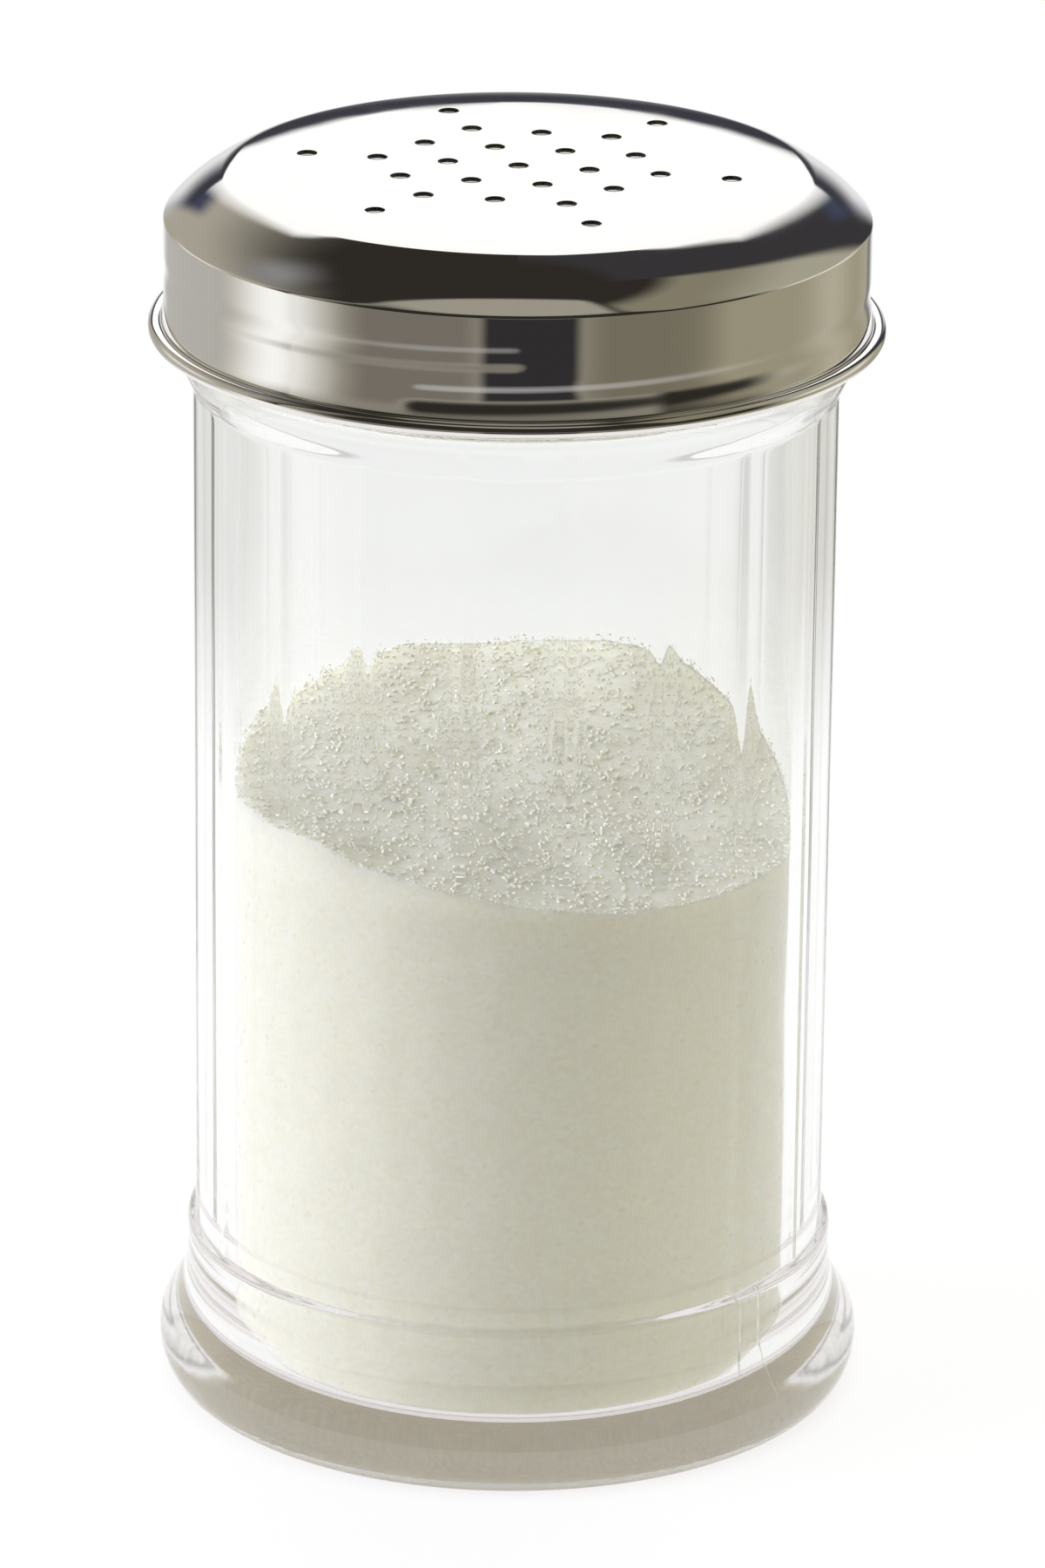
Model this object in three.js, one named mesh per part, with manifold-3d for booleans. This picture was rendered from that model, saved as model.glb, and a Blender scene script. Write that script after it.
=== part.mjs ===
// Sugar shaker: a fluted glass jar, a pressed steel screw lid and the sugar inside.
// Millimetres, +Z up. The origin is the centre of the ring that the jar stands on.
// The front of the shaker faces -Y.
import * as THREE from 'three'
import { mergeVertices } from 'three/addons/utils/BufferGeometryUtils.js'
import Module from 'manifold-3d'

const degree = THREE.MathUtils.DEG2RAD
const fullTurn = 2 * Math.PI
const halfTurn = Math.PI
const quarterTurn = Math.PI / 2

// Clearances
const seatClearance = 0.3 // between the lid and the glass rim that it sits on
const threadClearance = 0.35 // between the crests of the glass thread and of the lid's thread
const fillClearance = 0.3 // between the sugar and the glass

// Jar, body
const jarHeight = 126.7
const bodyRadius = 32.9 // at the ridges between the flutes
const fluteCount = 20
const fluteDepth = 0.5 // from a ridge to the middle of a flute
const wallThickness = 3.6 // of the glass at the middle of a flute
const floorThickness = 5.6
const floorCornerRadius = 4

// Jar, foot and waist ring
const ringProud = 0.55 // how far the ring stands out from the ridges
const ringTop = 16.7
const ringBottom = 12.9
const ringSlope = 0.9 // height in which the ring falls back to the flutes
const footFlare = 2.95 // how far the foot stands out from the ring
const footRoundWidth = 2.6
const footRoundHeight = 4.2 // height of the widest place of the foot
const footUpperHeight = 3.7
const footUpperTurn = 46 * degree // where the round upper side ends and the hollow sweep begins
const baseRingWidth = 4 // of the flat ring that the jar stands on
const baseRecessDepth = 1.1
const baseRecessSlope = 1.4
const sweepShares = [0.75, 0.5, 0.25, 0] // of the hollow sweep's height, from the foot up to the ring
const fallShares = [0, 0.35, 0.7, 1] // of the ring's slope, downwards into the flutes
const underShare = 1.4 // of the flutes' depth, where the ring and the shoulder pass below them

// Jar, shoulder and neck
const shoulderGap = 1 // between the lid's bead and the shoulder
const shoulderLand = 1
const shoulderRise = 5.6 // height in which the body swells to the shoulder
const shoulderLedge = 1 // width of the step from the shoulder in to the neck
const shoulderRound = 0.5
const neckStep = 0.1 // how much wider the neck is than the ridges
const rimRound = 1.2
const swellShares = [0, 0.15, 0.3, 0.45, 0.6, 0.8, 1] // of the shoulder's rise

// Screw thread: one helix on the neck, and its partner half a turn's rise lower in the lid
const threadLead = 4 // rise for one turn
const threadTurns = 1.045
const threadStartAngle = -106 * degree // from +X, so a little to the left of the front
const threadRunOut = 8 * degree // the angle over which each end fades
const threadHeight = 1.22 // how far the glass thread stands out from the neck
const threadHalfWidth = 0.95 // of the glass thread
const threadFlankShare = 0.5 // of a thread's half width, taken by its sloping flank
const threadStartRise = 2.8 // from the bead up to the start of the lid's thread

// Screw lid
const sheet = 0.45
const skirtDepth = 11.2 // from the pressed edge line down to the middle of the bead
const grooveDepth = 0.55 // how far the thread is pressed into the skirt
const grooveHalfWidth = 1.15
const edgeLip = 0.12 // how far the pressed edge stands proud of the skirt
const edgeLipHeight = 0.24
const domeShoulder = 7.07 // width of the round shoulder between the crown and the edge
const kneeRadius = 2.6 // of the short curve next to the crown
const kneeAngle = 28.3 * degree
const flankRadius = 19.2 // of the long curve down to the edge
const beadRadius = 0.8
const curlStart = -130 * degree // where the bead leaves the inside of the skirt
const curlEnd = 160 * degree // where it meets the outside again

// Holes in the crown, on a lattice of equal triangles
const holeDiameter = 2
const holeSpacing = 7.2
const holeTurn = -10.6 * degree
const fullRings = 2 // rings of the lattice that have all their holes; the next has only its corners

// Sugar
const fillDepth = 60.2 // over the floor, at the axis
const fillRise = 4.1 // from the axis to the back wall
const fillLean = 2 // fall from the axis to the right wall
const fillTwist = 2.9 // extra height at the back right and front left
const fillRipple = 0.4
const rippleLength = 15
const levelShares = [1, 0.8, 0.6, 0.4, 0.2, 0] // rings of the sugar's top, of its radius

// Fineness of the faceted surfaces
const fluteSteps = 4
const lidSegments = 56
const holeSegments = 10
const fillSegments = 40
const threadRows = 10
const roundSteps = 4
const rimSteps = 3
const edgeSteps = 2
const flankSteps = 5
const curlSteps = 8
const overrun = 2 // how far a cutter runs past what it cuts
const weldDistance = 1e-5

// Sizes that follow from the ones above
const jarSegments = fluteCount * fluteSteps
const innerRadius = bodyRadius - fluteDepth - wallThickness
const ringRadius = bodyRadius + ringProud
const footRadius = ringRadius + footFlare
const baseRadius = footRadius - footRoundWidth
const neckRadius = bodyRadius + neckStep
const shoulderRadius = neckRadius + shoulderLedge
const grooveCrest = neckRadius + threadHeight + threadClearance
const bandInner = grooveCrest + grooveDepth
const bandRadius = bandInner + sheet
const crownRadius = bandRadius - domeShoulder

// The dome's two arcs, and the height at which the long one rests on the round of the glass rim
const kneeEnd = crownRadius + kneeRadius * Math.sin(kneeAngle)
const flankCentre = kneeEnd - flankRadius * Math.sin(kneeAngle)
const edgeAngle = Math.asin((bandRadius - flankCentre) / flankRadius)
const rimCentre = neckRadius - rimRound
const seatReach = flankRadius - sheet - seatClearance - rimRound
const flankBase = jarHeight - rimRound - Math.sqrt(seatReach ** 2 - (rimCentre - flankCentre) ** 2)
const kneeBase = flankBase + (flankRadius - kneeRadius) * Math.cos(kneeAngle)
const crownHeight = kneeBase + kneeRadius
const edgeHeight = flankBase + flankRadius * Math.cos(edgeAngle)
const beadHeight = edgeHeight - skirtDepth
const grooveStart = beadHeight + threadStartRise
const threadStart = grooveStart + threadLead / 2
const shoulderTop = beadHeight - beadRadius - shoulderGap
const shoulderStart = shoulderTop - shoulderRound - shoulderLand - shoulderRise

const wasm = await Module()
wasm.setup()

// Points on an ellipse's arc in an outline of [radius, height] points
function arc([radius, height], [across, up], from, to, steps) {
  return Array.from({ length: steps + 1 }, (_, i) => {
    const angle = from + ((to - from) * i) / steps
    return [radius + across * Math.cos(angle), height + up * Math.sin(angle)]
  })
}

// A full turn about Z of an outline that runs anticlockwise from the axis and back to it.
// shape(radius, height, angle) gives each point's own radius and height.
function turned(outline, segments, shape) {
  const points = outline.map(([radius, height]) => new THREE.Vector2(radius, height))
  const geometry = new THREE.LatheGeometry(points, segments)
  const position = geometry.attributes.position
  for (let i = 0; i < position.count; i++) {
    const [r, z] = outline[i % outline.length]
    const turn = Math.floor(i / outline.length) % segments
    const angle = (turn / segments) * fullTurn - quarterTurn
    const [radius, height] = r > 0 ? shape(r, z, angle) : [r, z]
    position.setXYZ(i, radius * Math.cos(angle), radius * Math.sin(angle), height)
  }
  return geometry
}

// Welds a geometry's corners and leaves out the faces that have no area at the axis
function welded(geometry) {
  const bare = geometry.clone()
  bare.deleteAttribute('normal')
  bare.deleteAttribute('uv')
  const merged = mergeVertices(bare, weldDistance)
  const corners = merged.index.array
  const kept = []
  for (let i = 0; i < corners.length; i += 3) {
    const [a, b, c] = [corners[i], corners[i + 1], corners[i + 2]]
    if (a !== b && b !== c && c !== a) kept.push(a, b, c)
  }
  merged.setIndex(kept)
  merged.computeVertexNormals()
  return merged
}

function toSolid(geometry) {
  const merged = welded(geometry)
  const vertProperties = new Float32Array(merged.attributes.position.array)
  const triVerts = new Uint32Array(merged.index.array)
  return new wasm.Manifold(new wasm.Mesh({ numProp: 3, vertProperties, triVerts }))
}

function toGeometry(solid) {
  const mesh = solid.getMesh()
  const geometry = new THREE.BufferGeometry()
  geometry.setAttribute('position', new THREE.BufferAttribute(new Float32Array(mesh.vertProperties), 3))
  geometry.setIndex(new THREE.BufferAttribute(new Uint32Array(mesh.triVerts), 1))
  geometry.computeVertexNormals()
  return geometry
}

// How much of the thread is at a height and angle: 1 on the crest, 0 beside it
function threadShare(height, angle, start, halfWidth) {
  const whole = threadTurns * fullTurn
  let share = 0
  for (let turn = -1; turn <= Math.ceil(threadTurns); turn++) {
    const along = angle + turn * fullTurn - threadStartAngle
    if (along < 0 || along > whole) continue
    const middle = start + (threadLead * along) / fullTurn
    const across = Math.max(0, 1 - Math.abs(height - middle) / halfWidth)
    const end = Math.min(1, along / threadRunOut, (whole - along) / threadRunOut)
    share = Math.max(share, Math.min(1, across / threadFlankShare) * end)
  }
  return share
}

function threadHeights(start, halfWidth) {
  const low = start - halfWidth
  const high = start + threadLead * threadTurns + halfWidth
  return Array.from({ length: threadRows }, (_, i) => low + ((high - low) * i) / (threadRows - 1))
}

// Glass jar

// A flute is a shallow round hollow between two ridges, and one flute faces the front
function fluteRadius(angle) {
  const place = ((angle + quarterTurn) * fluteCount) / fullTurn
  const offCentre = 2 * (place - Math.round(place))
  return bodyRadius - fluteDepth * (1 - offCentre ** 2)
}

function footOutline() {
  const recess = baseRadius - baseRingWidth
  const middle = [baseRadius, footRoundHeight]
  const lower = arc(middle, [footRoundWidth, footRoundHeight], -quarterTurn, 0, roundSteps)
  const upper = arc(middle, [footRoundWidth, footUpperHeight], 0, footUpperTurn, rimSteps).slice(1)
  const [sweepRadius, sweepHeight] = upper.at(-1)
  const sweep = sweepShares.map((share) => [
    ringRadius + (sweepRadius - ringRadius) * share ** 2,
    ringBottom + (sweepHeight - ringBottom) * share,
  ])
  return [
    [0, baseRecessDepth],
    [recess - baseRecessSlope, baseRecessDepth],
    [recess, 0],
    ...lower,
    ...upper,
    ...sweep,
  ]
}

// The ring falls back below the flutes, and the shoulder swells out of them again
function bodyOutline() {
  const under = bodyRadius - underShare * fluteDepth
  const fall = fallShares.map((share) => [
    ringRadius + (under - ringRadius) * share,
    ringTop + ringSlope * share,
  ])
  const swell = swellShares.map((share) => [
    under + (shoulderRadius - under) * share ** 2 * (3 - 2 * share),
    shoulderStart + shoulderRise * share,
  ])
  return [...fall, ...swell]
}

function neckOutline() {
  const round = [shoulderRadius - shoulderRound, shoulderTop - shoulderRound]
  const innerRim = innerRadius + rimRound
  const rimBase = jarHeight - rimRound
  return [
    ...arc(round, [shoulderRound, shoulderRound], 0, quarterTurn, edgeSteps),
    [neckRadius, shoulderTop],
    ...threadHeights(threadStart, threadHalfWidth).map((height) => [neckRadius, height]),
    ...arc([rimCentre, rimBase], [rimRound, rimRound], 0, quarterTurn, rimSteps),
    ...arc([innerRim, rimBase], [rimRound, rimRound], quarterTurn, halfTurn, rimSteps),
  ]
}

function cavityOutline() {
  const corner = [innerRadius - floorCornerRadius, floorThickness + floorCornerRadius]
  const round = [floorCornerRadius, floorCornerRadius]
  return [...arc(corner, round, 0, -quarterTurn, roundSteps), [0, floorThickness]]
}

function makeJar() {
  const outline = [...footOutline(), ...bodyOutline(), ...neckOutline(), ...cavityOutline()]
  return turned(outline, jarSegments, (radius, height, angle) => {
    if (radius <= innerRadius) return [radius, height]
    if (height > ringTop && height < shoulderTop - shoulderRound) {
      return [Math.max(radius, fluteRadius(angle)), height]
    }
    if (radius === neckRadius) {
      const share = threadShare(height, angle, threadStart, threadHalfWidth)
      return [radius + threadHeight * share, height]
    }
    return [radius, height]
  })
}

// Screw lid

// The dome from the edge up to the crown, moved inwards by a thickness
function domeOutline(inset) {
  const knee = kneeRadius - inset
  const flank = flankRadius - inset
  const meeting = quarterTurn - kneeAngle
  return [
    ...arc([flankCentre, flankBase], [flank, flank], quarterTurn - edgeAngle, meeting, flankSteps),
    ...arc([crownRadius, kneeBase], [knee, knee], meeting, quarterTurn, rimSteps).slice(1),
  ]
}

function lidOutline() {
  const skirt = threadHeights(grooveStart, grooveHalfWidth)
  const curl = [bandRadius + beadRadius, beadHeight]
  return [
    [0, crownHeight - sheet],
    ...domeOutline(sheet).slice(1).reverse(),
    [bandInner, edgeHeight - sheet],
    ...[...skirt].reverse().map((height) => [bandInner, height]),
    [bandInner, beadHeight],
    ...arc(curl, [beadRadius, beadRadius], curlStart, curlEnd, curlSteps),
    ...skirt.map((height) => [bandRadius, height]),
    [bandRadius, edgeHeight - edgeLipHeight - edgeLip],
    [bandRadius + edgeLip, edgeHeight - edgeLipHeight],
    [bandRadius + edgeLip, edgeHeight],
    ...domeOutline(0).slice(1),
    [0, crownHeight],
  ]
}

// Places of the holes: rings round a middle hole, on two steps at 60 degrees
function holePlaces() {
  const places = []
  const reach = fullRings + 1
  for (let a = -reach; a <= reach; a++) {
    for (let b = -reach; b <= reach; b++) {
      const ring = Math.max(Math.abs(a), Math.abs(b), Math.abs(a + b))
      const corner = ring === reach && a * b * (a + b) === 0
      if (ring > fullRings && !corner) continue
      const place = new THREE.Vector3(a + b / 2, (b * Math.sqrt(3)) / 2, 0)
      places.push(place.multiplyScalar(holeSpacing).applyAxisAngle(new THREE.Vector3(0, 0, 1), holeTurn))
    }
  }
  return places
}

function makeLid() {
  const pressed = turned(lidOutline(), lidSegments, (radius, height, angle) => {
    if (radius !== bandInner && radius !== bandRadius) return [radius, height]
    return [radius - grooveDepth * threadShare(height, angle, grooveStart, grooveHalfWidth), height]
  })
  const punchRadius = holeDiameter / 2
  const punch = new THREE.CylinderGeometry(punchRadius, punchRadius, sheet + 2 * overrun, holeSegments)
  punch.rotateX(quarterTurn)
  const lid = holePlaces().reduce((solid, place) => {
    const hole = punch.clone().translate(place.x, place.y, crownHeight - sheet / 2)
    return solid.subtract(toSolid(hole))
  }, toSolid(pressed))
  return toGeometry(lid)
}

// Sugar

function makeFill() {
  const radius = innerRadius - fillClearance
  const base = floorThickness + fillClearance
  const round = floorCornerRadius - fillClearance
  const level = floorThickness + fillDepth
  const outline = [
    [0, base],
    ...arc([radius - round, base + round], [round, round], -quarterTurn, 0, roundSteps),
    ...levelShares.map((share) => [radius * share, level]),
  ]
  const ripple = fullTurn / rippleLength
  const surfaceHeight = (x, y) =>
    level +
    (fillRise * y) / radius -
    (fillLean * x) / radius +
    (fillTwist * x * y) / radius ** 2 +
    fillRipple * Math.sin(ripple * x) * Math.cos(ripple * y)
  return turned(outline, fillSegments, (r, z, angle) => {
    if (z !== level) return [r, z]
    return [r, surfaceHeight(r * Math.cos(angle), r * Math.sin(angle))]
  })
}

function piece(name, geometry, material) {
  const mesh = new THREE.Mesh(welded(geometry), material)
  mesh.name = name
  return mesh
}

const clearGlass = new THREE.MeshStandardMaterial({
  color: 0xeef3f2,
  roughness: 0.04,
  metalness: 0,
  transparent: true,
  opacity: 0.35,
})
const polishedSteel = new THREE.MeshStandardMaterial({ color: 0xc9c7c2, roughness: 0.12, metalness: 1 })
const whiteSugar = new THREE.MeshStandardMaterial({ color: 0xdcdacb, roughness: 0.9, metalness: 0 })

const shaker = new THREE.Group()
shaker.add(piece('glass_jar', makeJar(), clearGlass))
shaker.add(piece('screw_lid', makeLid(), polishedSteel))
shaker.add(piece('sugar_fill', makeFill(), whiteSugar))

export default shaker
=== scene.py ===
# %% [markdown]
# A glass sugar shaker.
# The real shaker is a pressed glass jar with shallow flutes, a pressed steel lid that screws on,
# and the sugar inside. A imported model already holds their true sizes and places. This lesson loads
# it as a frame and builds finer glass, steel and sugar in the same room, so nothing has to be fitted.

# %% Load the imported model
import math
import random

import bmesh
import bpy
from mathutils import Matrix, Vector, noise


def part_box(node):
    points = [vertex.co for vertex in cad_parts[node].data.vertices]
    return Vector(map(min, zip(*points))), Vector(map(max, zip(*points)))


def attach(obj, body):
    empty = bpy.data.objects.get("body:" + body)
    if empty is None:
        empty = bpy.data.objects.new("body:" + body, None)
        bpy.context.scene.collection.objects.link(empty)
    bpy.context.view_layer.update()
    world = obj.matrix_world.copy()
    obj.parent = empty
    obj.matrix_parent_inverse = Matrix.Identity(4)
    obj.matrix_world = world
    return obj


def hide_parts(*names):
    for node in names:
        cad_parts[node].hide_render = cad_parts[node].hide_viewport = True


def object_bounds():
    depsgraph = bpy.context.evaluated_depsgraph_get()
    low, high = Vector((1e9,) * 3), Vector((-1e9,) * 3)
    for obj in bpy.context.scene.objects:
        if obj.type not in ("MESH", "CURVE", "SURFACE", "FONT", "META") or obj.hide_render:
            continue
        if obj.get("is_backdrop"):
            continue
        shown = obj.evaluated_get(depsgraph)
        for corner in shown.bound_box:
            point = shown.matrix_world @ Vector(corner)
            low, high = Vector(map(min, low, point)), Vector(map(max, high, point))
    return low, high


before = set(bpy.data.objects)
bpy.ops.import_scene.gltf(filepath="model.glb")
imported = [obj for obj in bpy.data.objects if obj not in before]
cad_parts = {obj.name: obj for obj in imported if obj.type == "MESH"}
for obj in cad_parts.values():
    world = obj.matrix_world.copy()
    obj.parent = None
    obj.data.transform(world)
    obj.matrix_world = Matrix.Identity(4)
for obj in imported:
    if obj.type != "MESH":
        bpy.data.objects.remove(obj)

mm = 0.001
degree = math.radians(1)
full_turn = math.tau
quarter_turn = math.pi / 2
same_place = 0.001 * mm

cad_box = [list(corner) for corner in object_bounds()]
jar_low, jar_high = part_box("glass_jar")
lid_low, lid_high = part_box("screw_lid")
sugar_low, sugar_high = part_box("sugar_fill")
print("The jar is", round((jar_high.z - jar_low.z) / mm, 2), "mm high, the lid's bead",
      round(2 * lid_high.x / mm, 2), "mm across")
print("The sugar reaches from", round(sugar_low.z / mm, 1), "to", round(sugar_high.z / mm, 1), "mm")

# %% [markdown]
# The camera comes first, because every later choice is judged through it. The photograph was taken
# from almost a metre away with a long lens, looking down by 20 degrees, and tilted by half a degree.
# A camera could be pointed by a constraint, but three plain turns about its own axes say the same
# and leave nothing live in the file. Thick glass throws light to and fro inside itself, so the scene
# also allows a ray more bounces than usual; with few of them the foot and the edges turn black.

# %% Camera at the photograph's place
camera_place = Vector((0, -0.82267, 0.36284))
camera_pitch = 19.976 * degree
camera_yaw = 0.071 * degree
camera_roll = 0.585 * degree
lens_length = 196.04

camera_data = bpy.data.cameras.new("photo_camera")
camera_data.sensor_width = 36
camera_data.lens = lens_length
camera = bpy.data.objects.new("photo_camera", camera_data)
aim = Matrix.Rotation(-camera_yaw, 4, "Z") @ Matrix.Rotation(quarter_turn - camera_pitch, 4, "X")
camera.matrix_world = Matrix.Translation(camera_place) @ aim @ Matrix.Rotation(camera_roll, 4, "Z")
bpy.context.scene.collection.objects.link(camera)
bpy.context.scene.camera = camera
bpy.context.scene.view_settings.view_transform = "Standard"
bpy.context.scene.cycles.max_bounces = 32
bpy.context.scene.cycles.glossy_bounces = 24
bpy.context.scene.cycles.transmission_bounces = 24
print("The camera stands", round(camera_place.length, 3), "m from the shaker's foot")

# %% [markdown]
# Materials are drawn as node trees. A few short helpers keep that readable: one adds a node and
# sets its sockets, one does arithmetic, and one makes a soft-edged band, which is 1 between two
# values and fades to 0 outside them. Others give a place in the object's own coordinates, mix two
# shaders, or let a height shape a shader's surface.

# %% Helpers for node trees
def add_node(tree, kind, **settings):
    """A node of a kind. Names that match its sockets set them, and the rest set its properties."""
    node = tree.nodes.new(kind)
    for name, value in settings.items():
        if hasattr(node, name):
            setattr(node, name, value)
        else:
            put(tree, value, node.inputs[name.replace("_", " ").title()])
    return node


def put(tree, value, socket):
    """Sets a socket to a plain value, or links it to another node's socket."""
    if isinstance(value, bpy.types.NodeSocket):
        tree.links.new(value, socket)
    else:
        socket.default_value = value


def calculate(tree, operation, *values):
    node = add_node(tree, "ShaderNodeMath", operation=operation)
    for value, socket in zip(values, node.inputs):
        put(tree, value, socket)
    return node.outputs[0]


def ramp(tree, value, low, high, to_low=0.0, to_high=1.0):
    """A smooth step of a value from low to high."""
    node = add_node(tree, "ShaderNodeMapRange", interpolation_type="SMOOTHSTEP")
    for socket, number in zip(node.inputs, (value, low, high, to_low, to_high)):
        put(tree, number, socket)
    return node.outputs[0]


def band(tree, value, low, high, soft):
    rise = ramp(tree, value, low - soft, low + soft)
    fall = ramp(tree, value, high - soft, high + soft, 1.0, 0.0)
    return calculate(tree, "MULTIPLY", rise, fall)


def object_parts(tree):
    """The X, Y and Z of a place in the object's own coordinates."""
    place = add_node(tree, "ShaderNodeTexCoord")
    return add_node(tree, "ShaderNodeSeparateXYZ", Vector=place.outputs["Object"]).outputs


def axis_distance(tree, parts):
    """How far a place is from the object's upright axis."""
    across = calculate(tree, "MULTIPLY", parts["X"], parts["X"])
    along = calculate(tree, "MULTIPLY", parts["Y"], parts["Y"])
    return calculate(tree, "SQRT", calculate(tree, "ADD", across, along))


def mix_colour(tree, share, under, over):
    node = add_node(tree, "ShaderNodeMix", data_type="RGBA")
    put(tree, share, node.inputs[0])
    put(tree, under, node.inputs[6])
    put(tree, over, node.inputs[7])
    return node.outputs[2]


def mix_shaders(tree, share, under, over):
    node = add_node(tree, "ShaderNodeMixShader")
    for value, socket in zip((share, under.outputs[0], over.outputs[0]), node.inputs):
        put(tree, value, socket)
    return node


def add_relief(tree, shader, relief, distance, strength=1.0):
    """Lets a height shape a shader's surface."""
    bump = add_node(tree, "ShaderNodeBump", Height=relief, Distance=distance, Strength=strength)
    put(tree, bump.outputs[0], shader.inputs["Normal"])


def not_scattered(tree, ray):
    """1 for a ray that has left no matt surface yet, which Diffuse Depth counts."""
    return calculate(tree, "LESS_THAN", ray["Diffuse Depth"], 0.5)


def new_material(name):
    material = bpy.data.materials.new(name)
    material.use_nodes = True
    material.node_tree.nodes.clear()
    output = material.node_tree.nodes.new("ShaderNodeOutputMaterial")
    return material, material.node_tree, output


# %% [markdown]
# Polished steel has hardly a colour of its own: what the lid shows is the room. In the photograph
# it mirrors a white sweep behind the shaker, a dark ceiling, pale walls on the left and in front,
# a khaki wall on the right and a table whose near edge lies in the dark. So the world is drawn as
# such a room: soft patches worked out from a ray's direction. An image could do the same, but
# patches can be read and moved one by one. Some limits aren't level or upright: the khaki wall ends
# along a slope, the sweep leans outwards up to its corner, and its upper end and the pale wall's top
# edge are straight lines across the ceiling, so they are told by how far back they lie.

# %% Directions in the room
white = (1, 1, 1, 1)
wall_slope = 0.6
sweep_lean = 0.55
lean_limit = 45.0
sweep_middle = 0.08
sweep_slant = -0.4

world = bpy.data.worlds.new("studio_room")
bpy.context.scene.world = world
world.use_nodes = True
room = world.node_tree
room.nodes.clear()
outward = add_node(room, "ShaderNodeTexCoord").outputs["Generated"]
direction = add_node(room, "ShaderNodeSeparateXYZ", Vector=outward).outputs
front_part = calculate(room, "MULTIPLY", direction["Y"], -1.0)
compass = calculate(room, "DEGREES", calculate(room, "ARCTAN2", direction["X"], front_part))
height = calculate(room, "DEGREES", calculate(room, "ARCSINE", direction["Z"]))
wall_side = calculate(room, "MULTIPLY_ADD", height, wall_slope, compass)
leaning = calculate(room, "MULTIPLY", calculate(room, "MINIMUM", height, lean_limit), sweep_lean)
sweep_side = calculate(room, "ADD", calculate(room, "ABSOLUTE", compass), leaning)
back = direction["Y"]
off_middle = calculate(room, "ABSOLUTE", calculate(room, "SUBTRACT", direction["X"], sweep_middle))
sweep_end = calculate(room, "MULTIPLY_ADD", off_middle, sweep_slant, back)

# %% Patches of the room
least = -400
most = 400
room_patches = [
    # what, between which limits, how soft; across which limits, how soft; the colour
    (height, least, 38, 19, compass, least, -84, 8, (0.46, 0.43, 0.36)),  # left wall
    (height, 36, 50, 9, compass, -120, -100, 9, (0.30, 0.30, 0.31)),  # window
    (back, least, -0.225, 0.02, compass, -82, 46, 4, (0.40, 0.375, 0.315)),  # pale wall
    (height, -5, 56, 5, compass, -66, 80, 14, (0.03, 0.028, 0.022)),  # shade behind the camera
    (height, 22, 64, 4, compass, 50, most, 4, (0.27, 0.25, 0.18)),  # khaki wall
    (height, least, 44, 12, compass, 86, most, 10, (0.45, 0.43, 0.34)),  # khaki wall, lit part
    (wall_side, 149, most, 3, height, least, 74, 3, (0.045, 0.043, 0.047)),  # gap on the right
    (sweep_side, 161, most, 2.5, height, -20, 19, 4, (0.06, 0.07, 0.12)),  # gap by the sweep
    (sweep_side, 168, most, 2, sweep_end, 0.335, most, 0.015, (1.25, 1.25, 1.25)),  # white sweep
    (height, -4, 12, 4, compass, 95, 136, 8, (0.85, 0.83, 0.72)),  # bright strip on the right
    (height, -4, 12, 4, compass, -138, -108, 8, (0.85, 0.83, 0.75)),  # bright strip on the left
    (height, -30, 13.2, 0.8, sweep_side, 163, most, 3, (0.05, 0.05, 0.065)),  # table's far edge
    (height, least, 4, 6.5, sweep_side, 161, most, 4, (0.85, 0.85, 0.87)),  # table behind
    (height, least, -8, 4, compass, least, -108, 10, (0.53, 0.52, 0.49)),  # table in half light
    (height, least, -8, 4, compass, -100, -70, 15, (1.15, 1.15, 1.13)),  # table in the key light
    (height, least, -8, 4, compass, -56, -11, 8, (0.21, 0.19, 0.165)),  # table's edge, left
    (height, least, -8, 4, compass, 20, 62, 12, (0.21, 0.19, 0.14)),  # table's edge, right
    (height, least, -8, 4, compass, -11, 20, 2.5, (0.035, 0.033, 0.035)),  # under the camera
    (height, least, -8, 4, compass, 62, 150, 14, (0.38, 0.35, 0.25)),  # table on the right
    (height, least, -8, 4, compass, 112, 134, 12, (0.52, 0.49, 0.38)),  # its lit part
    (height, least, -8, 4, sweep_side, 156, most, 8, (0.95, 0.95, 0.96)),  # table at the sweep
]

# %% [markdown]
# The patches are now laid over the ceiling's colour one by one. The camera itself sees the world as
# white. A ray that glass alone has bent sees it mostly white, so that the empty part of the jar is
# clear and its edges stay grey. A ray that has already left the sugar sees the room as it is, so the
# white backdrop adds no light to the sugar.

# %% World
ceiling_colour = (0.033, 0.028, 0.024, 1)
through_glass_share = 0.62

seen = ceiling_colour
for first, low, high, soft, second, left, right, side_soft, colour in room_patches:
    share = calculate(room, "MULTIPLY", band(room, first, low, high, soft),
                      band(room, second, left, right, side_soft))
    seen = mix_colour(room, share, seen, (*colour, 1))
ray = add_node(room, "ShaderNodeLightPath").outputs
plain = calculate(room, "MULTIPLY", ray["Is Transmission Ray"], through_glass_share)
plain = calculate(room, "MULTIPLY", plain, not_scattered(room, ray))
plain = calculate(room, "MAXIMUM", plain, ray["Is Camera Ray"])
seen = mix_colour(room, plain, seen, white)
backdrop = add_node(room, "ShaderNodeBackground", Color=seen)
world_output = add_node(room, "ShaderNodeOutputWorld")
put(room, backdrop.outputs[0], world_output.inputs["Surface"])
print("The room has", len(room_patches), "patches")
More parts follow.
